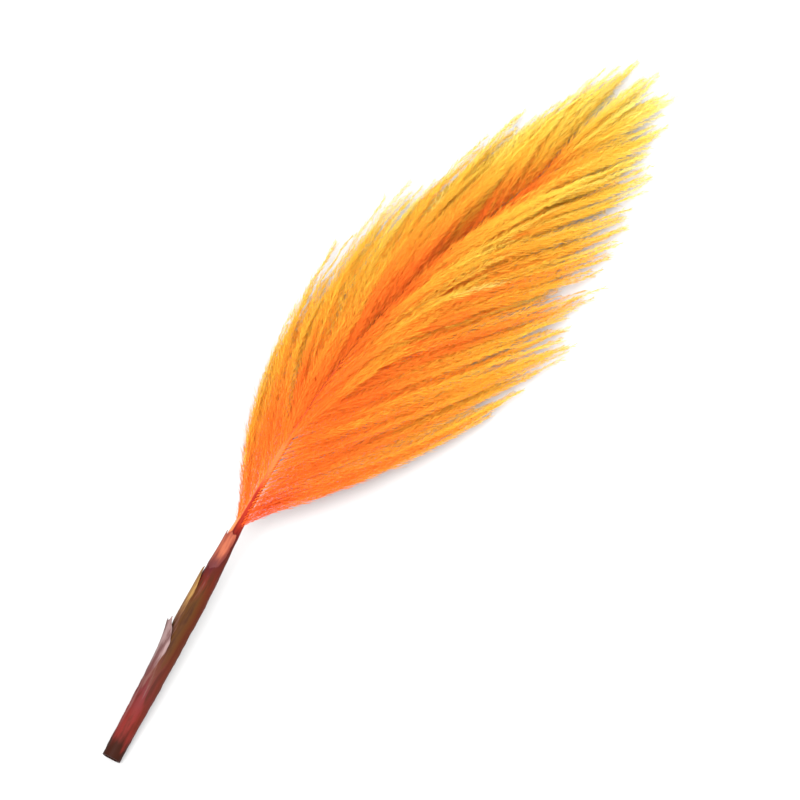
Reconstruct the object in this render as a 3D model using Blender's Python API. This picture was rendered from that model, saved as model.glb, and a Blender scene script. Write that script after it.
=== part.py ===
"""A dyed cul de canard feather lying on a flat surface, as one solid.

The butt of the quill points to -X and the tip of the vane to +X. The feather's right side, which is
the wide one, is on -Y. The surface is at Z = 0, with the origin under the middle of the feather.
"""

import math
import random
from collections import namedtuple

import bmesh
import bpy
import numpy as np

MM = 0.001

# The shaft: a bare quill, then the rachis that carries the vane
QUILL_LENGTH = 14.5 * MM
SHAFT_LENGTH = 46.0 * MM
BUTT_RADIUS = 0.56 * MM
QUILL_RADIUS = 0.63 * MM
RACHIS_RADIUS = 0.22 * MM
TIP_RADIUS = 0.09 * MM
BUTT_RIM = 0.14 * MM
BUTT_DEPTH = 0.9 * MM
SWOLLEN_BY = 0.40 * QUILL_LENGTH
THINS_FROM = 0.62 * QUILL_LENGTH
THINS_OVER = 0.62 * QUILL_LENGTH
SHAFT_SIDES = 10
QUILL_RINGS = 10
RACHIS_RINGS = 18

# Its course in plan: almost straight to the vane, then a sweep to the right
QUILL_BEARING = 8.0
SWEEP_ANGLE = 19.0
SWEEP_START = 16.0 * MM
SWEEP_END = 44.0 * MM
BUTT_AT = (-27.1 * MM, -1.2 * MM)

# Its height: an arch from the butt to the vane's thin end
BUTT_HEIGHT = 0.50 * MM
ARCH_HEIGHT = 3.1 * MM
ARCH_STATION = 25.0 * MM
END_HEIGHT = 1.2 * MM

# The locks: barbs that cling together, wide and flat near the shaft, fine at the tip
LOCK_SEGMENTS = 7
LOCK_SIDES = 4
STEPS_IN_SEGMENT = 4
LOCK_WIDTH = 1.35 * MM
LOCK_THICKNESS = 0.62 * MM
ROOT_SHARE = 0.38
TIP_SHARE = 0.13
WIDEST_AT = 0.42
TAPER_POWER = 1.4
STRAIGHTEN = 0.62
FOLLOW = 0.75
FALL_POWER = 1.5
SWELL_POWER = 0.8

# How much one lock differs from the next: degrees, shares, and radians of roll
SPLAY_SPREAD = 3.0
LENGTH_SPREAD = 0.06
WIDTH_SPREAD = (0.8, 1.15)
TURN_SPREAD = 0.4
ROOT_SPREAD = 0.2
LIFTED_EVERY = 3

CUTTER_SIZE = (80.0 * MM, 50.0 * MM, 4.0 * MM)
SEED = 7

# Flakes of the old sheath on the quill, in millimetres and degrees
Flake = namedtuple("Flake", "name station length width splay curl")
FLAKES = (
    Flake("flake_grey", 5.2, 3.1, 0.75, 15.0, 0.35),
    Flake("flake_pale", 8.8, 3.4, 0.55, 12.0, 0.15),
    Flake("flake_pink", 12.4, 3.4, 0.60, 10.0, 0.10),
)
FLAKE_SLOPE = 0.12
FLAKE_ROOT = 0.55
FLAKE_THICKNESS = 0.18 * MM
FLAKE_TURN = 0.5
FLAKE_RINGS = (0.0, 0.3, 0.65, 1.0)
FLAKE_END_SHARE = 0.55
FLAKE_WIDEST_AT = 0.35

DYE = (0.90, 0.24, 0.03, 1.0)
ROUGHNESS = 0.7

# The rows of locks, in millimetres and degrees. A side is +1 for left and -1 for right, and first and
# last are stations on the shaft. length and splay go from the first lock's to the last one's, and swell
# is what the middle of the row adds to length. bulge is a range, and drop_to is the height where most
# locks end and the height where the lifted ones do.
Row = namedtuple("Row", "name count side first last length swell splay bulge drop_to")
ROWS = (
    Row("right", 24, -1, 14.6, 44.5, (18.0, 8.5), 2.5, (48, 18), (0.1, 0.9), (-0.1, 0.7)),
    Row("left", 21, 1, 14.6, 44.5, (13.5, 10.0), 4.5, (27, 14), (0.1, 0.9), (-0.1, 0.9)),
    Row("crown_right", 6, -1, 20.0, 37.0, (13.5, 13.0), 1.0, (22, 12), (0.9, 1.5), (1.6, 0.9)),
    Row("crown_left", 5, 1, 19.0, 37.0, (14.5, 14.0), 1.0, (11, 7), (0.9, 1.5), (1.6, 0.9)),
    Row("under_right", 5, -1, 16.6, 40.0, (12.5, 11.0), 1.0, (34, 15), (-0.7, -0.3), (-0.15, -0.15)),
    Row("under_left", 4, 1, 16.6, 40.0, (12.5, 12.5), 1.0, (16, 8), (-0.7, -0.3), (-0.15, -0.15)),
    Row("end_right", 4, -1, 44.0, 46.0, (8.8, 8.6), 0.0, (2, 12), (0.0, 0.5), (-0.1, 0.5)),
    Row("end_left", 2, 1, 44.5, 46.0, (9.4, 9.2), 0.0, (3, 9), (0.0, 0.5), (-0.1, 0.5)),
)


def smoothstep(x):
    """Ease from 0 to 1 as x goes from 0 to 1."""
    x = np.clip(x, 0.0, 1.0)
    return x * x * (3.0 - 2.0 * x)


def bearing(station):
    """Direction of the shaft in plan at a distance from the butt, anticlockwise from +X, in radians."""
    swept = smoothstep((station - SWEEP_START) / (SWEEP_END - SWEEP_START))
    return np.radians(QUILL_BEARING - SWEEP_ANGLE * swept)


STATIONS = np.linspace(0.0, SHAFT_LENGTH, 185)


def plan_course():
    """X and Y of the shaft's centre at each of STATIONS."""
    middle = bearing((STATIONS[1:] + STATIONS[:-1]) / 2)
    step = np.diff(STATIONS)
    x = BUTT_AT[0] + np.concatenate([[0.0], np.cumsum(step * np.cos(middle))])
    y = BUTT_AT[1] + np.concatenate([[0.0], np.cumsum(step * np.sin(middle))])
    return x, y


COURSE_X, COURSE_Y = plan_course()


def shaft_height(station):
    """Height of the shaft's centre: a rise to the top of the arch, then a fall to the tip."""
    if station < ARCH_STATION:
        rise = math.sin(math.pi / 2 * station / ARCH_STATION)
        return BUTT_HEIGHT + (ARCH_HEIGHT - BUTT_HEIGHT) * rise
    fall = 0.5 - 0.5 * math.cos(math.pi * (station - ARCH_STATION) / (SHAFT_LENGTH - ARCH_STATION))
    return ARCH_HEIGHT - (ARCH_HEIGHT - END_HEIGHT) * fall


def shaft_point(station):
    """Centre of the shaft at a distance from the butt."""
    x = np.interp(station, STATIONS, COURSE_X)
    y = np.interp(station, STATIONS, COURSE_Y)
    return np.array([x, y, shaft_height(station)])


def shaft_radius(station):
    """Radius of the shaft: swollen in the quill, quickly thinner where the vane starts."""
    swell = smoothstep(station / SWOLLEN_BY)
    quill = BUTT_RADIUS + (QUILL_RADIUS - BUTT_RADIUS) * swell
    into_rachis = smoothstep((station - THINS_FROM) / THINS_OVER)
    along = np.clip((station - QUILL_LENGTH) / (SHAFT_LENGTH - QUILL_LENGTH), 0.0, 1.0)
    rachis = RACHIS_RADIUS + (TIP_RADIUS - RACHIS_RADIUS) * along
    return quill + (rachis - quill) * into_rachis


def level_axes(direction):
    """Two axes across a direction: one level, to its left, and one that points up from it."""
    direction = direction / np.linalg.norm(direction)
    left = np.cross((0.0, 0.0, 1.0), direction)
    left /= np.linalg.norm(left)
    return left, np.cross(direction, left)


def ring(centre, direction, half_width, half_height, sides, turn=0.0):
    """Points of an ellipse across a direction."""
    left, up = level_axes(direction)
    points = []
    for side in range(sides):
        angle = 2 * math.pi * side / sides
        across, above = half_width * math.cos(angle), half_height * math.sin(angle)
        level = across * math.cos(turn) - above * math.sin(turn)
        raised = across * math.sin(turn) + above * math.cos(turn)
        points.append(centre + left * level + up * raised)
    return points


def grow(rings):
    """A closed spine as a bmesh: a face on the first ring, extruded from ring to ring."""
    bm = bmesh.new()
    first = end = bm.faces.new([bm.verts.new(point) for point in rings[0]])
    for points in rings[1:]:
        grown = bmesh.ops.extrude_face_region(bm, geom=[end])["geom"]
        if end is not first:
            bmesh.ops.delete(bm, geom=[end], context="FACES_ONLY")
        end = next(item for item in grown if isinstance(item, bmesh.types.BMFace))
        for vert, point in zip(end.verts, points):
            vert.co = point
    bmesh.ops.recalc_face_normals(bm, faces=bm.faces[:])
    return bm


def to_object(bm, name):
    """A new object in the scene that holds the bmesh."""
    mesh = bpy.data.meshes.new(name)
    bm.to_mesh(mesh)
    bm.free()
    made = bpy.data.objects.new(name, mesh)
    bpy.context.collection.objects.link(made)
    return made


def hide(helper):
    """Mark an object as a helper of the model, which isn't a piece of it."""
    helper.hide_render = True
    helper.display_type = "WIRE"


def make_shaft():
    """Quill and rachis in one, with the open, hollowed butt of the quill."""
    stations = np.concatenate([
        np.linspace(0.0, QUILL_LENGTH, QUILL_RINGS),
        np.linspace(QUILL_LENGTH, SHAFT_LENGTH, RACHIS_RINGS + 1)[1:],
    ])
    rings = []
    for station in stations:
        ahead = shaft_point(min(station + STATIONS[1], SHAFT_LENGTH))
        behind = shaft_point(max(station - STATIONS[1], 0.0))
        radius = float(shaft_radius(station))
        rings.append(ring(shaft_point(station), ahead - behind, radius, radius, SHAFT_SIDES))
    bm = grow(rings)
    butt = min(bm.faces, key=lambda face: face.calc_center_median().x)
    bmesh.ops.inset_region(bm, faces=[butt], thickness=BUTT_RIM, depth=-BUTT_DEPTH)
    return to_object(bm, "feather")


def lock_route(root, side, splay, length, bulge, drop_to):
    """Points of a lock's centre line.

    It leaves the shaft at the station root, by the angle splay to the side +1 (left) or -1 (right),
    straightens as it goes, follows the bend of the shaft, and comes down to the height drop_to.
    """
    steps = STEPS_IN_SEGMENT * LOCK_SEGMENTS
    share = (np.arange(steps) + 0.5) / steps
    turned = side * math.radians(splay) * (1.0 - STRAIGHTEN * share)
    course = bearing(root + FOLLOW * length * share) + turned
    start = shaft_point(root)
    reach = length / steps
    x = start[0] + np.concatenate([[0.0], np.cumsum(reach * np.cos(course))])
    y = start[1] + np.concatenate([[0.0], np.cumsum(reach * np.sin(course))])
    along = np.linspace(0.0, 1.0, steps + 1)
    fallen = along ** FALL_POWER
    z = start[2] * (1.0 - fallen) + drop_to * fallen + bulge * 4.0 * along * (1.0 - along)
    return np.stack([x, y, z], axis=1)[::STEPS_IN_SEGMENT]


def make_lock(name, route, width, thickness, turn):
    """One lock: a flat four-sided spine that swells from its root and runs out to a fine tip."""
    rings = []
    last = len(route) - 1
    for index, point in enumerate(route):
        along = index / last
        if along < WIDEST_AT:
            share = ROOT_SHARE + (1.0 - ROOT_SHARE) * float(smoothstep(along / WIDEST_AT))
        else:
            fade = (along - WIDEST_AT) / (1.0 - WIDEST_AT)
            share = 1.0 + (TIP_SHARE - 1.0) * fade ** TAPER_POWER
        direction = route[min(index + 1, last)] - route[max(index - 1, 0)]
        rings.append(ring(point, direction, share * width / 2, share * thickness / 2, LOCK_SIDES, turn))
    return to_object(grow(rings), name)


def grow_row(row, rng):
    """The locks of one row, each as the arguments of lock_route."""
    locks = []
    for index in range(row.count):
        up_row = (index + 0.5 + rng.uniform(-ROOT_SPREAD, ROOT_SPREAD)) / row.count
        root = row.first + (row.last - row.first) * up_row
        length = row.length[0] + (row.length[1] - row.length[0]) * up_row
        length += row.swell * math.sin(math.pi * up_row ** SWELL_POWER)
        length *= rng.uniform(1.0 - LENGTH_SPREAD, 1.0 + LENGTH_SPREAD)
        splay = row.splay[0] + (row.splay[1] - row.splay[0]) * up_row
        splay += rng.uniform(-SPLAY_SPREAD, SPLAY_SPREAD)
        bulge = rng.uniform(*row.bulge)
        drop_to = row.drop_to[0 if index % LIFTED_EVERY else 1]
        locks.append((root * MM, row.side, splay, length * MM, bulge * MM, drop_to * MM))
    return locks


def make_locks():
    """All locks of the vane, as helpers in one collection."""
    rng = random.Random(SEED)
    vane = bpy.data.collections.new("locks")
    bpy.context.scene.collection.children.link(vane)
    grown = [lock for row in ROWS for lock in grow_row(row, rng)]
    for number, lock in enumerate(grown):
        width = LOCK_WIDTH * rng.uniform(*WIDTH_SPREAD)
        thickness = LOCK_THICKNESS * rng.uniform(*WIDTH_SPREAD)
        turn = rng.uniform(-TURN_SPREAD, TURN_SPREAD)
        made = make_lock(f"lock_{number:02d}", lock_route(*lock), width, thickness, turn)
        move_to(made, vane)
    return vane


def move_to(piece, collection):
    """Take an object out of the scene's own collection and into another."""
    bpy.context.collection.objects.unlink(piece)
    collection.objects.link(piece)
    hide(piece)


def make_flakes(vane):
    """Papery flakes of the old sheath, loose at their upper ends, on the quill's left side."""
    for flake in FLAKES:
        station, length = flake.station * MM, flake.length * MM
        course = bearing(station) + math.radians(flake.splay)
        ahead = np.array([math.cos(course), math.sin(course), FLAKE_SLOPE])
        left, up = level_axes(ahead)
        start = shaft_point(station) + left * FLAKE_ROOT * shaft_radius(station)
        rings = []
        for along in FLAKE_RINGS:
            from_widest = (along - FLAKE_WIDEST_AT) / (1.0 - FLAKE_WIDEST_AT)
            share = 1.0 - (1.0 - FLAKE_END_SHARE) * from_widest ** 2
            point = start + ahead * length * along + up * flake.curl * MM * along * along
            half_width = share * flake.width * MM / 2
            rings.append(ring(point, ahead, half_width, FLAKE_THICKNESS / 2, LOCK_SIDES, FLAKE_TURN))
        move_to(to_object(grow(rings), flake.name), vane)


def make_surface_cutter():
    """A block below the surface, which leaves flat spots where the feather touches it."""
    bm = bmesh.new()
    bmesh.ops.create_cube(bm, size=1.0)
    bmesh.ops.scale(bm, vec=CUTTER_SIZE, verts=bm.verts[:])
    bmesh.ops.translate(bm, vec=(0.0, 0.0, -CUTTER_SIZE[2] / 2), verts=bm.verts[:])
    cutter = to_object(bm, "surface_cutter")
    hide(cutter)
    return cutter


def make_material():
    """Orange dyed feather."""
    material = bpy.data.materials.new("dyed_feather")
    material.use_nodes = True
    shader = material.node_tree.nodes["Principled BSDF"]
    shader.inputs["Base Color"].default_value = DYE
    shader.inputs["Roughness"].default_value = ROUGHNESS
    shader.inputs["Metallic"].default_value = 0.0
    return material


def fill_hollows(bm):
    """Model the small sealed spaces between crossing locks solid: only the outer skin is kept."""
    waiting = set(bm.verts)
    skins = []
    while waiting:
        found = [waiting.pop()]
        skin = set(found)
        while found:
            vert = found.pop()
            for edge in vert.link_edges:
                other = edge.other_vert(vert)
                if other not in skin:
                    skin.add(other)
                    found.append(other)
        waiting -= skin
        skins.append(skin)
    outer = max(skins, key=len)
    bmesh.ops.delete(bm, geom=[vert for vert in bm.verts if vert not in outer], context="VERTS")


def apply_modifiers(piece):
    """Give an object the mesh that its modifiers make, with no hollow left in it."""
    shown = piece.evaluated_get(bpy.context.evaluated_depsgraph_get())
    bm = bmesh.new()
    bm.from_mesh(shown.to_mesh())
    shown.to_mesh_clear()
    piece.modifiers.clear()
    fill_hollows(bm)
    bmesh.ops.triangulate(bm, faces=bm.faces[:])
    bm.to_mesh(piece.data)
    bm.free()


def make_feather():
    """The shaft, with the locks and flakes joined to it and its foot trimmed to the surface."""
    feather = make_shaft()
    vane = make_locks()
    make_flakes(vane)
    join = feather.modifiers.new("grow_vane", "BOOLEAN")
    join.operation = "UNION"
    join.solver = "EXACT"
    join.operand_type = "COLLECTION"
    join.collection = vane
    trim = feather.modifiers.new("lie_flat", "BOOLEAN")
    trim.operation = "DIFFERENCE"
    trim.solver = "EXACT"
    trim.object = make_surface_cutter()
    feather.data.materials.append(make_material())
    apply_modifiers(feather)
    return feather


for leftover in list(bpy.data.objects):
    bpy.data.objects.remove(leftover, do_unlink=True)
make_feather()
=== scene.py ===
import math
import random
from collections import namedtuple

import bpy
import numpy as np
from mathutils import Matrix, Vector


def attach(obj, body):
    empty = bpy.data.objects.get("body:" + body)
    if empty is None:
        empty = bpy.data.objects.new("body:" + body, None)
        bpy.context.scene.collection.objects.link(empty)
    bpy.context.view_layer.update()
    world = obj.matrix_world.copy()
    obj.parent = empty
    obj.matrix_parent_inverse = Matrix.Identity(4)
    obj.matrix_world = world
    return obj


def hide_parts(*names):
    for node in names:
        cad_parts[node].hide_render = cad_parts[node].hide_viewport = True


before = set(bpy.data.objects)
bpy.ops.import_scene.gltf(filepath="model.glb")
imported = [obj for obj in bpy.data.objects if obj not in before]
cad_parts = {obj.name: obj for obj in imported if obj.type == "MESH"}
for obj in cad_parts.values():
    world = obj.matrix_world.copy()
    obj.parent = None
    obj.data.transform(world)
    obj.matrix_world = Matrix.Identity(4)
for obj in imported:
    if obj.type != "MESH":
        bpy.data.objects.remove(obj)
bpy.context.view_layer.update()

MM = 0.001

# The shaft, as the solid has it
QUILL_LENGTH = 14.5 * MM
SHAFT_LENGTH = 46.0 * MM
BUTT_RADIUS = 0.56 * MM
QUILL_RADIUS = 0.63 * MM
RACHIS_RADIUS = 0.22 * MM
TIP_RADIUS = 0.09 * MM
SWOLLEN_BY = 0.40 * QUILL_LENGTH
THINS_FROM = 0.62 * QUILL_LENGTH
THINS_OVER = 0.62 * QUILL_LENGTH
QUILL_BEARING = 8.0
SWEEP_ANGLE = 19.0
SWEEP_START = 16.0 * MM
SWEEP_END = 44.0 * MM
BUTT_AT = (-27.1 * MM, -1.2 * MM)
BUTT_HEIGHT = 0.50 * MM
ARCH_HEIGHT = 3.1 * MM
ARCH_STATION = 25.0 * MM
END_HEIGHT = 1.2 * MM

# The locks of the vane, as the solid has them. A row's stations and lengths are in millimetres, and its
# splay is in degrees. A pair runs from the row's first lock to its last, but bulge is a range, and
# drop_to is the height of most tips and then that of the lifted ones.
STRAIGHTEN = 0.62
FOLLOW = 0.75
FALL_POWER = 1.5
SWELL_POWER = 0.8
SPLAY_SPREAD = 3.0
LENGTH_SPREAD = 0.06
ROOT_SPREAD = 0.2
LIFTED_EVERY = 3
SEED = 7
Row = namedtuple("Row", "name count side first last length swell splay bulge drop_to")
ROWS = (
    Row("right", 24, -1, 14.6, 44.5, (18.0, 8.5), 2.5, (48, 18), (0.1, 0.9), (-0.1, 0.7)),
    Row("left", 21, 1, 14.6, 44.5, (13.5, 10.0), 4.5, (27, 14), (0.1, 0.9), (-0.1, 0.9)),
    Row("crown_right", 6, -1, 20.0, 37.0, (13.5, 13.0), 1.0, (22, 12), (0.9, 1.5), (1.6, 0.9)),
    Row("crown_left", 5, 1, 19.0, 37.0, (14.5, 14.0), 1.0, (11, 7), (0.9, 1.5), (1.6, 0.9)),
    Row("under_right", 5, -1, 16.6, 40.0, (12.5, 11.0), 1.0, (34, 15), (-0.7, -0.3), (-0.15, -0.15)),
    Row("under_left", 4, 1, 16.6, 40.0, (12.5, 12.5), 1.0, (16, 8), (-0.7, -0.3), (-0.15, -0.15)),
    Row("end_right", 4, -1, 44.0, 46.0, (8.8, 8.6), 0.0, (2, 12), (0.0, 0.5), (-0.1, 0.5)),
    Row("end_left", 2, 1, 44.5, 46.0, (9.4, 9.2), 0.0, (3, 9), (0.0, 0.5), (-0.1, 0.5)),
)

# Loose barbs that stand off from the rest, which the solid leaves out
STRAY_ROWS = (
    Row("stray_right", 8, -1, 14.8, 34.0, (12.0, 13.0), 0.0, (50, 32), (0.2, 1.2), (0.1, 1.2)),
    Row("stray_left", 8, 1, 14.7, 34.0, (9.0, 12.0), 0.0, (36, 24), (0.2, 1.2), (0.1, 1.2)),
)

# Flakes of the old sheath, where the solid has them: shells round the quill's upper left.
# Lengths are in millimetres. An angle is 0 at the quill's left side and 90 on its top.
Flake = namedtuple("Flake", "name station length middle spread end_share curl")
FLAKES = (
    Flake("flake_grey", 4.7, 3.8, 30.0, 120.0, 0.30, 0.34),
    Flake("flake_pale", 8.0, 4.0, 28.0, 76.0, 0.35, 0.10),
    Flake("flake_pink", 12.0, 2.6, 60.0, 170.0, 0.72, 0.08),
)
FLAKE_GRID = (18, 10)
FLAKE_WIDEST_AT = 0.45
FLAKE_START_SHARE = 0.35
FLAKE_SUNK = 0.035 * MM
FLAKE_STAND = 0.025 * MM
FLAKE_RISES_OVER = (0.22, 0.30)
FLAKE_FREE_FROM = 0.6
FLAKE_FREE_OVER = 0.3
FLAKE_CURL_POWER = 3
FLAKE_RIM = 0.99
FLAKE_TORN = 0.08
FLAKE_FRAYED = 0.10
SHEATH_THICKNESS = 0.022 * MM

# The quill's finer shape
QUILL_SIDES = 24
QUILL_RINGS = 44
RACHIS_RINGS = 50
RIM = 0.12 * MM
HOLLOW_DEPTHS = (0.5 * MM, 0.6 * MM)
HOLLOW_STEP = 0.05 * MM
BUTT_FACING = 0.9
UNEVEN = 0.035
QUILL_RISE = 8.0
RAGGED = 0.32 * MM
SMOOTH_ANGLE = 40.0

# Barbs and barbules. Angles are in degrees, but a roll is in radians. A scatter is a standard deviation,
# and that of a length is in millimetres, as are the lengths and the height of the waves and DROP_RAISED.
Part = namedtuple("Part", "name rows first last warmth barbs_in_lock")
PARTS = (
    Part("barbs_right_foot", ("right",), 0, 8, 1.04, 10),
    Part("barbs_right_middle", ("right",), 8, 16, 1.34, 9),
    Part("barbs_right_high", ("right",), 16, 24, 1.16, 9),
    Part("barbs_left_low", ("left",), 0, 10, 0.78, 9),
    Part("barbs_left_high", ("left",), 10, 21, 0.90, 8),
    Part("barbs_end", ("end_right", "end_left"), 0, 4, 0.96, 6),
    Part("barbs_crown_right", ("crown_right",), 0, 6, 0.94, 7),
    Part("barbs_crown_left", ("crown_left",), 0, 5, 1.10, 7),
    Part("barbs_under", ("under_right", "under_left"), 0, 5, 1.20, 8),
    Part("barbs_stray", ("stray_right", "stray_left"), 0, 8, 0.50, 1),
)
BARB_STEPS = 18
ROUTE_DETAIL = 4
BARB_RADIUS = 0.026 * MM
BARB_RADIUS_SHARE = (0.8, 1.2)
BARB_TIP_SHARE = 0.30
BARB_TAPER = 0.8
ROOT_SCATTER = 0.05
SPLAY_SCATTER = 2.4
LENGTH_SHARE = (0.80, 1.06)
BULGE_SCATTER = 0.30
DROP_RAISED = (0.05, 0.60)
CLING = (0.0, 0.14)
CLING_PACE = 1.2
EVENED = (0.25, 0.5, 0.25)
STREAK_BARBS = 4
STREAK_SHARE = 0.6
WARMTH_SCATTER = 0.10
WAVES = (3.2, 7.0)
WAVE_HEIGHT = 0.075
WAVE_GROWTH = 1.2
ROOT_LIFT = 0.8
LIFT_LENGTH = 4.0 * MM
FADE = 0.98
FOOT_LENGTH = 5.0 * MM
FOOT_HUG = 0.36
HUG_SHARE = 0.24
# Share of the foot's deep red, partly painted shade, that barbs on the left side get
LEFT_FOOT = 0.3
BARBULE_PITCH = 0.11 * MM
FEWEST_BARBULES = 4
BARBULES_FROM = 0.03
BARBULES_OVER = 0.965
BARBULE_LENGTH = 0.98 * MM
BARBULE_LENGTH_SHARE = (0.5, 1.25)
BARBULE_RADIUS = 0.0140 * MM
BARBULE_RADIUS_SHARE = (0.8, 1.25)
BARBULE_ROLL_SCATTER = 0.35
BARBULE_LEAN = 22.0
BARBULE_LEAN_SCATTER = 6.0
BARBULE_LEAN_LOST = 8.0
BARBULE_BEND = -9.0
BARBULE_BEND_SCATTER = 8.0
FLOOR_GAP = 0.02 * MM
FOLD_SHARE = 0.12

# How long barbules are along a barb: they gain from its root, later at the foot, and lose to its tip
ROOT_FULLNESS = 0.45
GAIN = 0.55
GAIN_OVER = 0.12
GAIN_OVER_AT_FOOT = 0.30
LOSS = 0.50
LOSS_FROM = 0.55
LOSS_OVER = 0.45

# The bake map has a lane for each barb. A band is where it starts in the lane and how much it takes.
MAP_EDGE = 0.005
MAP_LENGTH = 0.99
BARB_BAND = (0.05, 0.18)
BARBULE_BAND = (0.34, 0.60)
BARBULE_HALF_WIDTH = 0.0028

# The view: the feather climbs to the right, as it lies in the photograph
VIEW_AZIMUTH = -54.0
VIEW_ELEVATION = 66.0
VIEW_LENS = 240.0
VIEW_FILL = 0.88
VIEW_CLIP = (0.01, 20.0)

# The stage
FLOOR_SIDE = 6.0
FLOOR_TONE = 0.40
SKY_STRENGTH = 2.05


def smoothstep(x):
    """Ease from 0 to 1 as x goes from 0 to 1."""
    x = np.clip(x, 0.0, 1.0)
    return x * x * (3.0 - 2.0 * x)


def bearing(station):
    """Direction of the shaft in plan at a distance from the butt, anticlockwise from +X, in radians."""
    swept = smoothstep((station - SWEEP_START) / (SWEEP_END - SWEEP_START))
    return np.radians(QUILL_BEARING - SWEEP_ANGLE * swept)


STATION_COUNT = 185
STATIONS = np.linspace(0.0, SHAFT_LENGTH, STATION_COUNT)


def plan_course():
    """X and Y of the shaft's centre at each of STATIONS."""
    middle = bearing((STATIONS[1:] + STATIONS[:-1]) / 2)
    step = np.diff(STATIONS)
    x = BUTT_AT[0] + np.concatenate([[0.0], np.cumsum(step * np.cos(middle))])
    y = BUTT_AT[1] + np.concatenate([[0.0], np.cumsum(step * np.sin(middle))])
    return x, y


COURSE_X, COURSE_Y = plan_course()


def shaft_point(station):
    """Centre of the shaft at each distance from the butt."""
    station = np.asarray(station, float)
    rise = np.sin(np.pi / 2 * np.minimum(station / ARCH_STATION, 1.0))
    past = np.clip((station - ARCH_STATION) / (SHAFT_LENGTH - ARCH_STATION), 0.0, 1.0)
    fall = 0.5 - 0.5 * np.cos(np.pi * past)
    height = BUTT_HEIGHT + (ARCH_HEIGHT - BUTT_HEIGHT) * rise - (ARCH_HEIGHT - END_HEIGHT) * fall
    x = np.interp(station, STATIONS, COURSE_X)
    y = np.interp(station, STATIONS, COURSE_Y)
    return np.stack([x, y, height], axis=-1)


def shaft_radius(station):
    """Radius of the shaft: swollen in the quill, quickly thinner where the vane starts."""
    swell = smoothstep(station / SWOLLEN_BY)
    quill = BUTT_RADIUS + (QUILL_RADIUS - BUTT_RADIUS) * swell
    into_rachis = smoothstep((station - THINS_FROM) / THINS_OVER)
    along = np.clip((station - QUILL_LENGTH) / (SHAFT_LENGTH - QUILL_LENGTH), 0.0, 1.0)
    rachis = RACHIS_RADIUS + (TIP_RADIUS - RACHIS_RADIUS) * along
    return quill + (rachis - quill) * into_rachis


def unit(vectors):
    """Vectors scaled to length 1."""
    return vectors / np.maximum(np.linalg.norm(vectors, axis=-1, keepdims=True), 1e-12)


def srgb(red, green, blue):
    """A colour as a picture shows it, 0 to 255, as the linear colour that a shader takes."""
    values = [channel / 255 for channel in (red, green, blue)]
    linear = [v / 12.92 if v <= 0.04045 else ((v + 0.055) / 1.055) ** 2.4 for v in values]
    return (*linear, 1.0)


# Materials


class Value:
    """A socket of a material, with the maths that can be written on it."""

    def __init__(self, finish, link):
        self.finish = finish
        self.link = link

    def maths(self, operation, *values):
        return self.finish.add("ShaderNodeMath", {"operation": operation}, dict(enumerate(values)))

    def __add__(self, other):
        return self.maths("ADD", self, other)

    __radd__ = __add__

    def __mul__(self, other):
        return self.maths("MULTIPLY", self, other)

    __rmul__ = __mul__

    def __sub__(self, other):
        return self.maths("SUBTRACT", self, other)

    def __rsub__(self, other):
        return self.maths("SUBTRACT", other, self)

    def step_up(self, low, high):
        """0 below low and 1 above high, with an eased rise between them."""
        inputs = {"Value": self, "From Min": low, "From Max": high}
        return self.finish.add("ShaderNodeMapRange", {"interpolation_type": "SMOOTHSTEP"}, inputs)


class Finish:
    """A material that is being written: its nodes are added one by one."""

    def __init__(self, name):
        self.material = bpy.data.materials.new(name)
        self.material.use_nodes = True
        self.tree = self.material.node_tree
        self.tree.nodes.clear()

    def add(self, kind, settings=None, inputs=None, output=0):
        """A new node, as the value of one of its outputs."""
        node = self.tree.nodes.new(kind)
        for name, value in (settings or {}).items():
            if name == "stops":
                self.set_ramp(node.color_ramp, value)
            else:
                setattr(node, name, value)
        for name, value in (inputs or {}).items():
            if isinstance(value, Value):
                self.tree.links.new(value.link, node.inputs[name])
            else:
                node.inputs[name].default_value = value
        return Value(self, node.outputs[output])

    @staticmethod
    def set_ramp(ramp, stops):
        """Give a colour ramp its stops, each a place and a colour."""
        while len(ramp.elements) < len(stops):
            ramp.elements.new(1.0)
        for element, (place, colour) in zip(ramp.elements, stops):
            element.position = place
            element.color = colour

    def ramp(self, factor, stops):
        return self.add("ShaderNodeValToRGB", {"stops": stops}, {"Fac": factor})

    def mix(self, factor, first, second):
        """A colour between two, by factor."""
        inputs = {0: factor, 6: first, 7: second}
        return self.add("ShaderNodeMix", {"data_type": "RGBA"}, inputs, output=2)

    def attribute(self, name):
        """A number that the piece's mesh carries."""
        return self.add("ShaderNodeAttribute", {"attribute_name": name}, output="Fac")

    def place(self, scale):
        """Object coordinates, turned so that X runs along the quill, then stretched along each axis."""
        where = self.add("ShaderNodeTexCoord", output="Object")
        turn = (0.0, -math.radians(QUILL_RISE), math.radians(QUILL_BEARING))
        inputs = {"Vector": where, "Rotation": turn, "Scale": tuple(1.0 / value for value in scale)}
        return self.add("ShaderNodeMapping", {"vector_type": "TEXTURE"}, inputs)

    def noise(self, scale, detail=3.0, roughness=0.55):
        inputs = {"Vector": self.place(scale), "Scale": 1.0, "Detail": detail, "Roughness": roughness}
        return self.add("ShaderNodeTexNoise", None, inputs)

    def finish(self, surface):
        """The material, with this shader on its surface."""
        end = self.tree.nodes.new("ShaderNodeOutputMaterial")
        self.tree.links.new(surface.link, end.inputs["Surface"])
        return self.material


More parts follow.
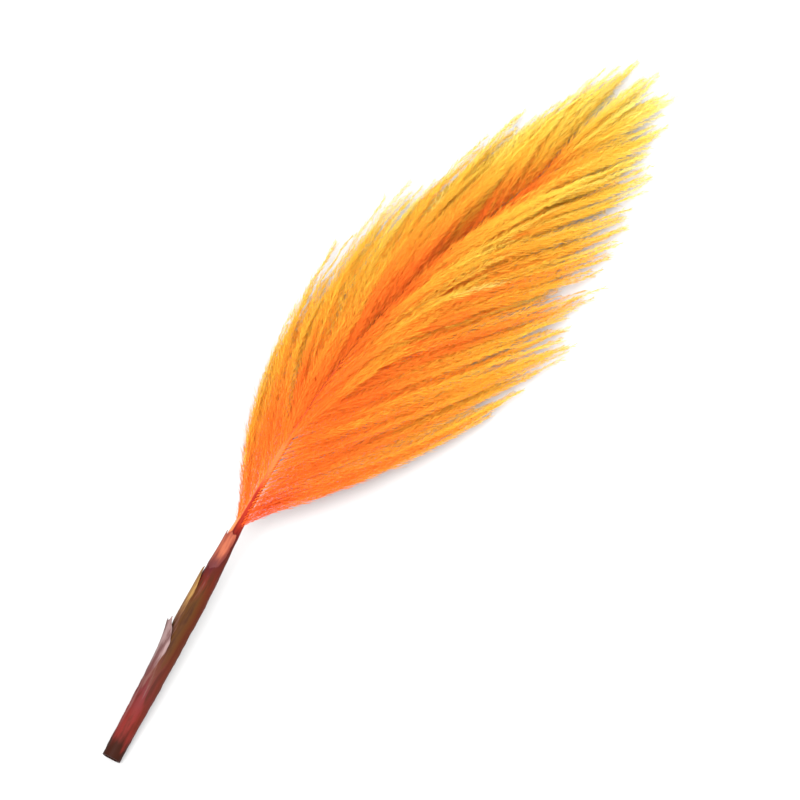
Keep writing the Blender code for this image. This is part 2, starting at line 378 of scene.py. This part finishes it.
def barb_material():
    """Soft dyed barbs: red at the vane's foot, partly painted shade there, orange along the shaft, yellow
    and light at the tips.
    """
    paint = Finish("barbs_dyed")
    along = paint.attribute("along")
    out = paint.attribute("out")
    warmth = paint.attribute("warmth")
    strand = paint.attribute("strand")
    foot = paint.attribute("foot")
    mottle = paint.noise((900.0, 900.0, 900.0))
    thread = 1.0 - out.step_up(0.0, 0.25)
    near_shaft = 1.0 - along.step_up(0.0, 0.40)
    # How far the dye has gone from orange, at 0, to light yellow, at 1
    shade = (
        along * 0.76 + out * 0.06 + (strand - 0.5) * (0.28 + thread * 0.44)
        - (warmth - 0.5) * 0.52 + (mottle - 0.5) * 0.16 - near_shaft * 0.24
    )
    dye = paint.ramp(shade, (
        (0.00, srgb(255, 148, 54)),
        (0.18, srgb(255, 176, 60)),
        (0.38, srgb(255, 202, 68)),
        (0.60, srgb(255, 220, 82)),
        (0.80, srgb(255, 233, 104)),
        (1.00, srgb(255, 243, 150)),
    ))
    # Deep red at the vane's foot, full on the right and less on the left: partly dye, partly painted shade
    deep_red_and_shade = foot * (1.0 - along.step_up(0.08, 0.30)) * 0.8
    reddened_and_shaded = paint.mix(deep_red_and_shade, dye, srgb(218, 68, 36))
    lined = strand.step_up(0.88, 0.93) * thread
    dusk = lined * along.step_up(0.10, 0.30) * (1.0 - along.step_up(0.7, 0.95)) * 0.85
    colour = paint.mix(dusk, reddened_and_shaded, srgb(176, 82, 30))
    fibre = paint.add("ShaderNodeBsdfPrincipled", None, {
        "Base Color": colour,
        "Roughness": 0.6,
        "Specular IOR Level": 0.12,
    })
    red_glow = paint.add("ShaderNodeBsdfTranslucent", None, {"Color": srgb(255, 142, 50)})
    yellow_glow = paint.add("ShaderNodeBsdfTranslucent", None, {"Color": srgb(255, 244, 128)})
    ripe = shade * (1.0 - deep_red_and_shade)
    glow = paint.add("ShaderNodeMixShader", None, {0: ripe, 1: red_glow, 2: yellow_glow})
    return paint.finish(paint.add("ShaderNodeMixShader", None, {0: 0.5, 1: fibre, 2: glow}))


def quill_material():
    """Horn of the shaft: dark and streaked in the quill, red where the vane starts, pale orange in the
    lower vane and brown in the upper. Painted shade darkens the quill's far side, and a painted
    highlight pales its left side where the vane starts."""
    paint = Finish("quill_horn")
    along = paint.attribute("along")
    left = paint.attribute("left")
    streak = paint.noise((260.0, 2600.0, 2600.0), detail=4.0)
    blotch = paint.noise((420.0, 900.0, 900.0), detail=3.0)
    shade = along + (streak - 0.5) * 0.10 + (blotch - 0.5) * 0.10
    horn = paint.ramp(shade, (
        (0.00, srgb(36, 10, 2)),
        (0.022, srgb(38, 11, 3)),
        (0.05, srgb(90, 26, 22)),
        (0.09, srgb(78, 30, 32)),
        (0.14, srgb(62, 34, 14)),
        (0.20, srgb(60, 34, 8)),
        (0.245, srgb(76, 22, 14)),
        (0.28, srgb(56, 15, 20)),
        (0.315, srgb(80, 14, 8)),
        (0.36, srgb(134, 34, 18)),
        (0.43, srgb(200, 88, 46)),
        (0.58, srgb(184, 78, 34)),
        (0.70, srgb(108, 38, 10)),
        (1.00, srgb(104, 42, 10)),
    ))
    bare = along.step_up(0.03, 0.07) * (1.0 - along.step_up(0.24, 0.30))
    # Pale ashen patches of weathered horn, a little more on the lit left side: partly wear, partly painted
    # light
    ashen_and_lit = (streak + left * 0.08).step_up(0.52, 0.64) * bare
    weathered = paint.mix(ashen_and_lit * 0.6, horn, srgb(98, 66, 62))
    furrow = (1.0 - streak.step_up(0.36, 0.46)) * bare
    lined = paint.mix(furrow * 0.7, weathered, srgb(44, 20, 8))
    quill_only = along.step_up(0.02, 0.05) * (1.0 - along.step_up(0.29, 0.33))
    # Painted shade: the quill's far side, away from the light, painted dark brown
    painted_shade_far_side = (1.0 - left.step_up(-0.95, -0.3)) * quill_only
    with_painted_shade = paint.mix(painted_shade_far_side * 0.7, lined, srgb(70, 22, 8))
    # Painted highlight: the left side, toward the light, painted pale peach where the vane starts
    lit_side = left.step_up(0.15, 0.65) * along.step_up(0.295, 0.32) * (1.0 - along.step_up(0.42, 0.55))
    with_painted_highlight = paint.mix(lit_side, with_painted_shade, srgb(206, 112, 70))
    specks = blotch.step_up(0.58, 0.64) * along.step_up(0.55, 0.65) * 0.85
    colour = paint.mix(specks, with_painted_highlight, srgb(60, 36, 14))
    grain = paint.add("ShaderNodeBump", None, {"Strength": 0.5, "Distance": 0.00006, "Height": streak})
    shine = paint.add("ShaderNodeBsdfPrincipled", None, {
        "Base Color": colour,
        "Roughness": blotch * 0.25 + 0.38,
        "Specular IOR Level": 0.06,
        "Normal": grain,
    })
    return paint.finish(shine)


def sheath_material(name, horn, inner, outer):
    """Papery sheath: thin, dull and fibrous along its length, and like the horn where it grows from it."""
    paint = Finish(name)
    fibre = paint.noise((500.0, 4200.0, 4200.0), detail=4.0)
    chart = paint.add("ShaderNodeTexCoord", output="UV")
    grown = paint.add("ShaderNodeSeparateXYZ", None, {"Vector": chart})
    free = (grown + (fibre - 0.5) * 0.5).step_up(0.10, 0.62)
    colour = paint.mix(free, horn, paint.mix(fibre.step_up(0.35, 0.65), inner, outer))
    bump = paint.add("ShaderNodeBump", None, {"Strength": 0.4, "Distance": 0.00003, "Height": fibre})
    shine = paint.add("ShaderNodeBsdfPrincipled", None, {
        "Base Color": colour,
        "Roughness": 0.6,
        "Specular IOR Level": 0.2,
        "Normal": bump,
    })
    return paint.finish(shine)


# Fibres


# A little off upright, because a direction that lay along it would have no axis across
NEARLY_UP = np.array([0.001, 0.001, 1.0])


def across(ahead):
    """Two axes across each direction: one level, and one that points up from it."""
    level = unit(np.cross(NEARLY_UP, ahead))
    return level, np.cross(ahead, level)


def spikes(routes, radii, phase):
    """Closed three-sided spikes along many routes at once.

    routes is spikes x points x 3 and radii is spikes x (points - 1), because each spike ends in a point.
    phase turns the three sides. Returns the vertices, spikes x count x 3, and the quads and triangles of
    one spike as rows of vertex numbers.
    """
    count, points = routes.shape[:2]
    rings = points - 1
    ahead = unit(np.gradient(routes, axis=1)[:, :rings])
    level, up = across(ahead)
    corners = phase[:, None] + np.arange(3) * (2 * math.pi / 3)
    around = (
        level[:, :, None, :] * np.cos(corners)[:, None, :, None]
        + up[:, :, None, :] * np.sin(corners)[:, None, :, None]
    )
    verts = routes[:, :rings, None, :] + around * radii[:, :, None, None]
    verts = np.concatenate([verts.reshape(count, rings * 3, 3), routes[:, -1:]], axis=1)
    quads = [
        (3 * ring + side, 3 * ring + (side + 1) % 3, 3 * ring + 3 + (side + 1) % 3, 3 * ring + 3 + side)
        for ring in range(rings - 1) for side in range(3)
    ]
    last, tip = 3 * (rings - 1), 3 * rings
    tris = [(last + side, last + (side + 1) % 3, tip) for side in range(3)] + [(2, 1, 0)]
    return verts, np.array(quads), np.array(tris)


def spindles(lines, radii, phase):
    """Closed bent slivers: each starts in a point, is thickest at its middle and ends in a point.

    lines is slivers x 3 x 3: the root, the middle and the tip of each. Returns the same as spikes does,
    with no quads.
    """
    ahead = unit(lines[:, 2] - lines[:, 0])
    level, up = across(ahead)
    corners = phase[:, None] + np.arange(3) * (2 * math.pi / 3)
    around = (
        level[:, None, :] * np.cos(corners)[:, :, None] + up[:, None, :] * np.sin(corners)[:, :, None]
    )
    middle = lines[:, 1:2] + around * radii[:, None, None]
    verts = np.concatenate([lines[:, :1], middle, lines[:, 2:]], axis=1)
    to_root = [(0, 1 + (side + 1) % 3, 1 + side) for side in range(3)]
    to_tip = [(1 + side, 1 + (side + 1) % 3, 4) for side in range(3)]
    return verts, np.empty((0, 4), int), np.array(to_root + to_tip)


def fold_up(points):
    """Lift what would sink into the surface to just above it."""
    depth = np.maximum(FLOOR_GAP - points[..., 2], 0.0)
    points[..., 2] += depth * (1.0 + FOLD_SHARE)
    return points


def give_numbers(mesh, numbers):
    """Let the mesh carry named numbers, one for each vertex, for its material to read."""
    for name, values in numbers.items():
        layer = mesh.attributes.new(name, "FLOAT", "POINT")
        layer.data.foreach_set("value", values.astype(np.float32))


class Fibres:
    """Gathers spikes and slivers, and makes one mesh of them."""

    NUMBERS = ("along", "out", "warmth", "strand", "foot")

    def __init__(self):
        self.verts, self.polygons, self.uvs = [], [], []
        self.numbers = {name: [] for name in self.NUMBERS}
        self.total = 0

    def add(self, shape, uv, **numbers):
        """Take in many like shapes, with a place on the map and numbers for each vertex."""
        verts, quads, tris = shape
        count, each = verts.shape[:2]
        start = self.total + np.arange(count)[:, None, None] * each
        self.verts.append(verts.reshape(-1, 3))
        self.uvs.append(uv.reshape(-1, 2))
        for name in self.NUMBERS:
            self.numbers[name].append(np.broadcast_to(numbers[name], (count, each)).reshape(-1))
        for faces in (quads, tris):
            if len(faces):
                self.polygons.append((start + faces[None]).reshape(-1, faces.shape[1]))
        self.total += count * each

    def to_object(self, name, material):
        """The mesh as an object of the scene."""
        verts = np.concatenate(self.verts)
        uvs = np.concatenate(self.uvs)
        corners = np.concatenate([rows.reshape(-1) for rows in self.polygons])
        sizes = np.concatenate([np.full(len(rows), rows.shape[1]) for rows in self.polygons])
        starts = np.concatenate([[0], np.cumsum(sizes)[:-1]])
        mesh = bpy.data.meshes.new(name)
        mesh.vertices.add(len(verts))
        mesh.vertices.foreach_set("co", verts.astype(np.float32).reshape(-1))
        mesh.loops.add(len(corners))
        mesh.loops.foreach_set("vertex_index", corners.astype(np.int32))
        mesh.polygons.add(len(sizes))
        mesh.polygons.foreach_set("loop_start", starts.astype(np.int32))
        give_numbers(mesh, {number: np.concatenate(values) for number, values in self.numbers.items()})
        chart = mesh.uv_layers.new(name="OFBake")
        chart.uv.foreach_set("vector", uvs[corners].astype(np.float32).reshape(-1))
        mesh.update(calc_edges=True)
        mesh.validate()
        mesh.shade_smooth()
        mesh.materials.append(material)
        made = bpy.data.objects.new(name, mesh)
        bpy.context.scene.collection.objects.link(made)
        return made


def places_of(piece):
    """Where the vertices of a piece are."""
    places = np.empty(len(piece.data.vertices) * 3, np.float32)
    piece.data.vertices.foreach_get("co", places)
    return places.reshape(-1, 3)


def belongs(piece):
    """Say that a piece is part of the feather and moves with it."""
    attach(piece, "root")
    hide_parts("feather")
    return piece


# The vane


Barbs = namedtuple("Barbs", "root side splay length bulge drop_to")


def grow_row(row, rng):
    """The locks of one row, each as root, side, splay, length, bulge and drop_to."""
    locks = []
    for index in range(row.count):
        up_row = (index + 0.5 + rng.uniform(-ROOT_SPREAD, ROOT_SPREAD)) / row.count
        root = row.first + (row.last - row.first) * up_row
        length = row.length[0] + (row.length[1] - row.length[0]) * up_row
        length += row.swell * math.sin(math.pi * up_row ** SWELL_POWER)
        length *= rng.uniform(1.0 - LENGTH_SPREAD, 1.0 + LENGTH_SPREAD)
        splay = row.splay[0] + (row.splay[1] - row.splay[0]) * up_row
        splay += rng.uniform(-SPLAY_SPREAD, SPLAY_SPREAD)
        bulge = rng.uniform(*row.bulge)
        drop_to = row.drop_to[0 if index % LIFTED_EVERY else 1]
        locks.append((root * MM, row.side, splay, length * MM, bulge * MM, drop_to * MM))
    return locks


def foot_of(root):
    """1 for a barb that grows at the foot of the vane, easing to 0 further up."""
    return 1.0 - smoothstep((root - QUILL_LENGTH) / FOOT_LENGTH)


def routes_of(barbs, steps):
    """Centre lines of many barbs at once, each with steps + 1 points.

    Those at the foot keep close to the shaft at first.
    """
    fine = ROUTE_DETAIL * steps
    share = (np.arange(fine) + 0.5) / fine
    root, side, splay, length, bulge, drop_to = (values[:, None] for values in barbs)
    hugging = FOOT_HUG * foot_of(root) * (1.0 - smoothstep(share / HUG_SHARE))
    turned = side * np.radians(splay) * (1.0 - STRAIGHTEN * share) * (1.0 - hugging)
    course = bearing(root + FOLLOW * length * share) + turned
    start = shaft_point(barbs.root)
    reach = length / fine
    nothing = np.zeros((len(barbs.root), 1))
    x = start[:, :1] + np.concatenate([nothing, np.cumsum(reach * np.cos(course), axis=1)], axis=1)
    y = start[:, 1:2] + np.concatenate([nothing, np.cumsum(reach * np.sin(course), axis=1)], axis=1)
    along = np.linspace(0.0, 1.0, fine + 1)
    fallen = along ** FALL_POWER
    z = start[:, 2:] * (1.0 - fallen) + drop_to * fallen + bulge * 4.0 * along * (1.0 - along)
    return np.stack([x, y, z], axis=-1)[:, ::ROUTE_DETAIL]


def evened(values):
    """Values of a row of locks, each drawn towards its neighbours'."""
    return np.convolve(np.pad(values, 1, "edge"), EVENED, "valid")


def barbs_of(row, part, rng):
    """The barbs of a part's locks in one row.

    They stand side by side on the shaft, spread evenly from one lock's line to the next, and draw a
    little towards their own lock's line outwards. They start on the shaft's upper side.
    """
    each = part.barbs_in_lock
    lines = Barbs(*(evened(values) for values in np.array(row).T))
    lock = Barbs(*(np.repeat(values[part.first:part.last], each) for values in lines))
    count = len(lock.root)
    pitch = (lines.root[-1] - lines.root[0]) / (len(lines.root) - 1) / each
    place = np.tile(np.arange(each) - (each - 1) / 2, count // each)
    root = lock.root + place * pitch + rng.normal(0.0, ROOT_SCATTER, count) * MM
    root = np.clip(root, QUILL_LENGTH, SHAFT_LENGTH)
    between = Barbs(*(np.interp(root, lines.root, values) for values in lines))
    barbs = Barbs(
        root=root,
        side=lock.side,
        splay=between.splay + rng.normal(0.0, SPLAY_SCATTER, count),
        length=between.length * rng.uniform(*LENGTH_SHARE, count),
        bulge=between.bulge + rng.normal(0.0, BULGE_SCATTER, count) * MM,
        drop_to=between.drop_to + rng.uniform(*DROP_RAISED, count) * MM,
    )
    routes = routes_of(barbs, BARB_STEPS)
    along = np.linspace(0.0, 1.0, BARB_STEPS + 1)
    cling = np.repeat(rng.uniform(*CLING, count // each), each)[:, None, None]
    drawn = smoothstep(along * CLING_PACE)[None, :, None]
    routes += cling * drawn * (routes_of(lock, BARB_STEPS) - routes)
    distance = along[None] * barbs.length[:, None]
    lift = ROOT_LIFT * shaft_radius(root)[:, None] * (1.0 - smoothstep(distance / LIFT_LENGTH))
    routes[:, :, 2] += lift
    for axis in range(3):
        for wave in WAVES:
            sway = rng.normal(0.0, WAVE_HEIGHT, (count, 1)) * (wave / WAVES[-1]) * MM
            phase = rng.uniform(0.0, 2 * math.pi, (count, 1))
            swing = np.sin(distance * 2 * math.pi / (wave * MM) + phase)
            routes[:, :, axis] += sway * along ** WAVE_GROWTH * swing
    return barbs, fold_up(routes)


def sample(values, rows, where):
    """Values along each barb, read between its points: rows picks the barb, where is from 0 to 1."""
    steps = values.shape[1] - 1
    at = np.clip(where * steps, 0.0, steps - 1e-6)
    low = at.astype(int)
    part = (at - low)[:, None]
    return values[rows, low] * (1.0 - part) + values[rows, low + 1] * part


def barbules_of(barbs, routes, rng):
    """Barbules along both sides of each barb: their barb, place along it and three points."""
    counts = np.maximum((barbs.length / BARBULE_PITCH).astype(int), FEWEST_BARBULES)
    rows = np.repeat(np.arange(len(counts)), 2 * counts)
    first = np.repeat(np.cumsum(2 * counts) - 2 * counts, 2 * counts)
    index = np.arange(len(rows)) - first
    side = np.where(index % 2, 1.0, -1.0)
    total = len(rows)
    where = BARBULES_FROM + BARBULES_OVER * (index // 2 + rng.uniform(0.0, 1.0, total)) / counts[rows]
    ahead = unit(sample(unit(np.gradient(routes, axis=1)), rows, where))
    level, up = across(ahead)
    barb_roll = np.repeat(rng.normal(0.0, BARBULE_ROLL_SCATTER, len(counts)), 2 * counts)
    roll = barb_roll + rng.normal(0.0, BARBULE_ROLL_SCATTER, total)
    aside = (level * np.cos(roll)[:, None] + up * np.sin(roll)[:, None]) * side[:, None]
    lean = np.radians(rng.normal(BARBULE_LEAN, BARBULE_LEAN_SCATTER, total) - BARBULE_LEAN_LOST * where)
    bend = np.radians(rng.normal(BARBULE_BEND, BARBULE_BEND_SCATTER, total))
    foot = foot_of(barbs.root)[rows]
    fullness = ROOT_FULLNESS + GAIN * smoothstep(where / (GAIN_OVER + GAIN_OVER_AT_FOOT * foot))
    fullness *= 1.0 - LOSS * smoothstep((where - LOSS_FROM) / LOSS_OVER)
    length = BARBULE_LENGTH * fullness * rng.uniform(*BARBULE_LENGTH_SHARE, total)
    root = sample(routes, rows, where)
    half = length[:, None] * 0.5
    middle = root + half * (ahead * np.cos(lean)[:, None] + aside * np.sin(lean)[:, None])
    lean = lean + bend
    tip = middle + half * (ahead * np.cos(lean)[:, None] + aside * np.sin(lean)[:, None])
    return rows, where, fold_up(np.stack([root, middle, tip], axis=1))


def make_barbs(part, locks, material, seed):
    """One part of the vane: the barbs of its locks with all their barbules."""
    rng = np.random.default_rng(seed)
    grown = [barbs_of(locks[row], part, rng) for row in part.rows]
    barbs = Barbs(*(np.concatenate(values) for values in zip(*(barbs for barbs, _ in grown))))
    routes = np.concatenate([routes for _, routes in grown])
    count = len(barbs.root)
    streak = np.repeat(rng.uniform(0.0, 1.0, count // STREAK_BARBS + 1), STREAK_BARBS)[:count]
    strand = np.where(rng.uniform(0.0, 1.0, count) < STREAK_SHARE, streak, rng.uniform(0.0, 1.0, count))
    up_shaft = (barbs.root - QUILL_LENGTH) / (SHAFT_LENGTH - QUILL_LENGTH)
    warm = part.warmth - FADE * up_shaft + rng.normal(0.0, WARMTH_SCATTER, count)
    # Deep red at the foot: partly dye and partly painted shade, which falls mostly on the right side
    foot = foot_of(barbs.root) * np.where(barbs.side < 0, 1.0, LEFT_FOOT)
    lane = 1.0 / count
    fibres = Fibres()

    along = np.linspace(0.0, 1.0, BARB_STEPS + 1)
    thin = 1.0 - (1.0 - BARB_TIP_SHARE) * along[:-1] ** BARB_TAPER
    radii = BARB_RADIUS * thin[None] * rng.uniform(*BARB_RADIUS_SHARE, (count, 1))
    shape = spikes(routes, radii, rng.uniform(0.0, 2.0, count))
    ring_along = np.append(np.repeat(along[:-1], 3), 1.0)
    ring_side = np.append(np.tile([0.0, 0.5, 1.0], BARB_STEPS), 0.5)
    bottom = np.arange(count)[:, None] * lane
    uv = np.stack([
        np.broadcast_to(MAP_EDGE + MAP_LENGTH * ring_along, (count, len(ring_along))),
        bottom + lane * (BARB_BAND[0] + BARB_BAND[1] * ring_side),
    ], axis=-1)
    fibres.add(
        shape, uv,
        along=ring_along, out=0.0, warmth=warm[:, None], strand=strand[:, None], foot=foot[:, None],
    )

    rows, where, lines = barbules_of(barbs, routes, rng)
    radii = BARBULE_RADIUS * rng.uniform(*BARBULE_RADIUS_SHARE, len(rows))
    shape = spindles(lines, radii, rng.uniform(0.0, 2.0, len(rows)))
    beside = np.array([0.0, -1.0, 0.0, 1.0, 0.0]) * BARBULE_HALF_WIDTH
    outwards = np.array([0.0, 0.5, 0.5, 0.5, 1.0])
    uv = np.stack([
        np.clip(MAP_EDGE + MAP_LENGTH * where[:, None] + beside, 0.0, 1.0),
        rows[:, None] * lane + lane * (BARBULE_BAND[0] + BARBULE_BAND[1] * outwards),
    ], axis=-1)
    fibres.add(
        shape, uv,
        along=where[:, None], out=outwards, warmth=warm[rows][:, None], strand=strand[rows][:, None],
        foot=foot[rows][:, None],
    )
    return belongs(fibres.to_object(part.name, material))


def make_vane():
    """All barbs, in pieces that each stay light enough."""
    rng = random.Random(SEED)
    locks = {row.name: grow_row(row, rng) for row in ROWS + STRAY_ROWS}
    material = barb_material()
    return [make_barbs(part, locks, material, SEED + number) for number, part in enumerate(PARTS)]


# The shaft


def deselect():
    """Nothing selected and nothing active, so that the next operator acts on the new piece alone."""
    for thing in bpy.context.selected_objects:
        thing.select_set(False)
    bpy.context.view_layer.objects.active = None


def select_faces(piece, wanted):
    """Select the faces of a piece that wanted picks, and nothing else on it."""
    mesh = piece.data
    mesh.vertices.foreach_set("select", [False] * len(mesh.vertices))
    mesh.edges.foreach_set("select", [False] * len(mesh.edges))
    mesh.polygons.foreach_set("select", [bool(wanted(face)) for face in mesh.polygons])


def draw_out(places, radii):
    """A disc extruded from place to place, as one closed rod with a ring at each place."""
    deselect()
    bpy.ops.mesh.primitive_circle_add(
        vertices=QUILL_SIDES, radius=radii[0], fill_type="NGON", location=places[0]
    )
    rod = bpy.context.active_object
    first = unit(places[1] - places[0])
    rod.rotation_euler = Vector((0.0, 0.0, 1.0)).rotation_difference(Vector(first)).to_euler()
    bpy.ops.object.transform_apply(location=True, rotation=True, scale=True)
    bpy.ops.object.mode_set(mode="EDIT")
    bpy.ops.mesh.select_all(action="SELECT")
    for index in range(1, len(places)):
        step = tuple(places[index] - places[index - 1])
        bpy.ops.mesh.extrude_region_move(TRANSFORM_OT_translate={"value": step})
        size = float(radii[index] / radii[index - 1])
        bpy.ops.transform.resize(value=(size, size, size), center_override=tuple(places[index]))
    bpy.ops.object.mode_set(mode="OBJECT")
    return rod


def square_up(rod, places):
    """Turn each ring of the rod square to its course, and make its rings a little uneven."""
    rng = random.Random(SEED)
    ahead = unit(np.gradient(places, axis=0))
    first = Vector(unit(places[1] - places[0]))
    for index, place in enumerate(places):
        turn = first.rotation_difference(Vector(ahead[index])).to_matrix()
        centre = Vector(place)
        for vert in rod.data.vertices[index * QUILL_SIDES:(index + 1) * QUILL_SIDES]:
            grown = 1.0 + rng.uniform(-UNEVEN, UNEVEN)
            vert.co = centre + turn @ (vert.co - centre) * grown


def hollow_butt(rod, places):
    """Inset the butt and sink it, and tear its rim a little."""
    rng = random.Random(SEED)
    edge = places[0][0] + HOLLOW_STEP
    select_faces(rod, lambda face: face.center.x < edge and abs(face.normal.x) > BUTT_FACING)
    bpy.ops.object.mode_set(mode="EDIT")
    bpy.ops.mesh.select_mode(type="FACE")
    bpy.ops.mesh.inset(thickness=RIM, depth=0.0)
    for depth in HOLLOW_DEPTHS:
        bpy.ops.mesh.inset(thickness=HOLLOW_STEP, depth=-depth)
    bpy.ops.mesh.select_all(action="SELECT")
    bpy.ops.mesh.normals_make_consistent(inside=False)
    # Unsorted, the faces come in an order that changes from run to run
    bpy.ops.mesh.sort_elements(type="CURSOR_DISTANCE", elements={"FACE"})
    bpy.ops.object.mode_set(mode="OBJECT")
    for vert in rod.data.vertices[:QUILL_SIDES]:
        vert.co.x += rng.uniform(0.0, RAGGED)


def make_shaft():
    """Quill and rachis: a disc at the butt, drawn out ring by ring and hollowed at the open end."""
    stations = np.concatenate([
        np.linspace(0.0, QUILL_LENGTH, QUILL_RINGS),
        np.linspace(QUILL_LENGTH, SHAFT_LENGTH, RACHIS_RINGS)[1:],
    ])
    places = shaft_point(stations)
    shaft = draw_out(places, shaft_radius(stations))
    shaft.name = shaft.data.name = "quill"
    square_up(shaft, places)
    hollow_butt(shaft, places)
    mesh = shaft.data
    numbers = {"along": np.zeros(len(mesh.vertices)), "left": np.zeros(len(mesh.vertices))}
    leftwards = across(unit(np.gradient(places, axis=0)))[0]
    for vert in mesh.vertices:
        offset = np.array(vert.co) - places
        nearest = np.argmin(np.linalg.norm(offset, axis=1))
        numbers["along"][vert.index] = stations[nearest] / SHAFT_LENGTH
        aside = offset[nearest] @ leftwards[nearest]
        numbers["left"][vert.index] = aside / shaft_radius(stations[nearest])
        vert.co.z = max(vert.co.z, FLOOR_GAP)
    bpy.ops.object.shade_smooth_by_angle(angle=math.radians(SMOOTH_ANGLE))
    give_numbers(mesh, numbers)
    mesh.materials.clear()
    mesh.materials.append(quill_material())
    return belongs(shaft)


def make_flake(flake, material):
    """One papery flake: a grid, wrapped round the quill, torn, curled at its end and made thick."""
    rng = random.Random(flake.name)
    deselect()
    cells_along, cells_round = FLAKE_GRID
    bpy.ops.mesh.primitive_grid_add(x_subdivisions=cells_along, y_subdivisions=cells_round, size=2.0)
    sheet = bpy.context.active_object
    sheet.name = sheet.data.name = flake.name
    for vert in sheet.data.vertices:
        along, side = (vert.co.x + 1.0) / 2.0, vert.co.y
        end, reach = flake.end_share, 1.0 - FLAKE_WIDEST_AT
        if along < FLAKE_WIDEST_AT:
            end, reach = FLAKE_START_SHARE, FLAKE_WIDEST_AT
        share = 1.0 - (1.0 - end) * ((along - FLAKE_WIDEST_AT) / reach) ** 2
        if abs(side) > FLAKE_RIM:
            share *= 1.0 + rng.uniform(-FLAKE_FRAYED, FLAKE_FRAYED)
        torn = rng.uniform(-FLAKE_TORN, FLAKE_TORN) if along > FLAKE_RIM else 0.0
        station = (flake.station + flake.length * (along + torn)) * MM
        angle = math.radians(flake.middle - side * share * flake.spread / 2)
        course = float(bearing(station))
        left, up = across(np.array([math.cos(course), math.sin(course), 0.0]))
        from_start, from_side = FLAKE_RISES_OVER
        risen = smoothstep(along / from_start) * smoothstep((1.0 - abs(side)) / from_side)
        free = smoothstep((along - FLAKE_FREE_FROM) / FLAKE_FREE_OVER)
        lifted = flake.curl * MM * along ** FLAKE_CURL_POWER
        stand = (FLAKE_STAND + FLAKE_SUNK) * max(risen, free) - FLAKE_SUNK + lifted
        outwards = left * math.cos(angle) + up * math.sin(angle)
        vert.co = Vector(shaft_point(station) + outwards * (shaft_radius(station) + stand))
    for kind, settings in (
        ("SOLIDIFY", {"thickness": SHEATH_THICKNESS, "offset": 0.0}),
        ("SUBSURF", {"levels": 1, "render_levels": 1}),
    ):
        step = sheet.modifiers.new(kind.lower(), kind)
        for name, value in settings.items():
            setattr(step, name, value)
        bpy.ops.object.modifier_apply(modifier=step.name)
    sheet.data.shade_smooth()
    sheet.data.materials.append(material)
    return belongs(sheet)


def make_flakes():
    """The three flakes of old sheath, each dyed and weathered in its own way."""
    colours = {
        "flake_grey": (srgb(72, 32, 30), srgb(66, 36, 34), srgb(112, 90, 88)),
        "flake_pale": (srgb(66, 32, 12), srgb(84, 52, 20), srgb(122, 90, 44)),
        "flake_pink": (srgb(70, 20, 20), srgb(104, 40, 26), srgb(134, 68, 44)),
    }
    for flake in FLAKES:
        make_flake(flake, sheath_material(f"sheath_{flake.name}", *colours[flake.name]))


# Stage, light and camera


def make_floor():
    """A plain pale floor, far larger than the feather."""
    deselect()
    bpy.ops.mesh.primitive_plane_add(size=FLOOR_SIDE, location=(0.0, 0.0, 0.0))
    floor = bpy.context.active_object
    floor.name = "floor"
    paint = Finish("floor_white")
    matt = paint.add("ShaderNodeBsdfPrincipled", None, {
        "Base Color": (FLOOR_TONE, FLOOR_TONE, FLOOR_TONE, 1.0),
        "Roughness": 0.9,
        "Specular IOR Level": 0.1,
    })
    floor.data.materials.append(paint.finish(matt))


def make_light(name, spot, size, power):
    """A soft square light that looks at the feather."""
    data = bpy.data.lights.new(name, "AREA")
    data.shape = "SQUARE"
    data.size = size
    data.energy = power
    lamp = bpy.data.objects.new(name, data)
    lamp.location = spot
    lamp.rotation_mode = "QUATERNION"
    lamp.rotation_quaternion = Vector(spot).to_track_quat("Z", "Y")
    bpy.context.scene.collection.objects.link(lamp)


def make_sky():
    """Even white light from all round."""
    world = bpy.data.worlds.new("studio")
    world.use_nodes = True
    back = world.node_tree.nodes["Background"]
    back.inputs["Color"].default_value = (1.0, 1.0, 1.0, 1.0)
    back.inputs["Strength"].default_value = SKY_STRENGTH
    bpy.context.scene.world = world


def make_camera(pieces):
    """A camera that sees the whole feather, from above and behind its butt."""
    azimuth, elevation = math.radians(VIEW_AZIMUTH), math.radians(VIEW_ELEVATION)
    back = Vector((
        math.sin(azimuth) * math.cos(elevation),
        -math.cos(azimuth) * math.cos(elevation),
        math.sin(elevation),
    ))
    turn = (-back).to_track_quat("-Z", "Y")
    right, up = turn @ Vector((1.0, 0.0, 0.0)), turn @ Vector((0.0, 1.0, 0.0))
    points = np.concatenate([places_of(piece) for piece in pieces])
    seen = points @ np.array([right, up]).T
    low, high = seen.min(axis=0), seen.max(axis=0)
    reach = float(max(high - low)) / VIEW_FILL
    data = bpy.data.cameras.new("camera")
    data.lens = VIEW_LENS
    data.clip_start, data.clip_end = VIEW_CLIP
    distance = reach * VIEW_LENS / data.sensor_width
    middle_right, middle_up = (low + high) / 2
    middle = right * float(middle_right) + up * float(middle_up)
    camera = bpy.data.objects.new("camera", data)
    camera.rotation_mode = "QUATERNION"
    camera.rotation_quaternion = turn
    camera.location = middle + back * distance
    bpy.context.scene.collection.objects.link(camera)
    bpy.context.scene.camera = camera


bpy.context.scene.view_settings.view_transform = "Standard"
make_sky()
make_floor()
make_light("key", spot=(-0.32, 0.0, 0.90), size=0.6, power=12.5)
make_light("fill", spot=(-0.4, -0.6, 0.5), size=0.6, power=4.5)
shaft = make_shaft()
make_flakes()
vane = make_vane()
make_camera([shaft, *vane])
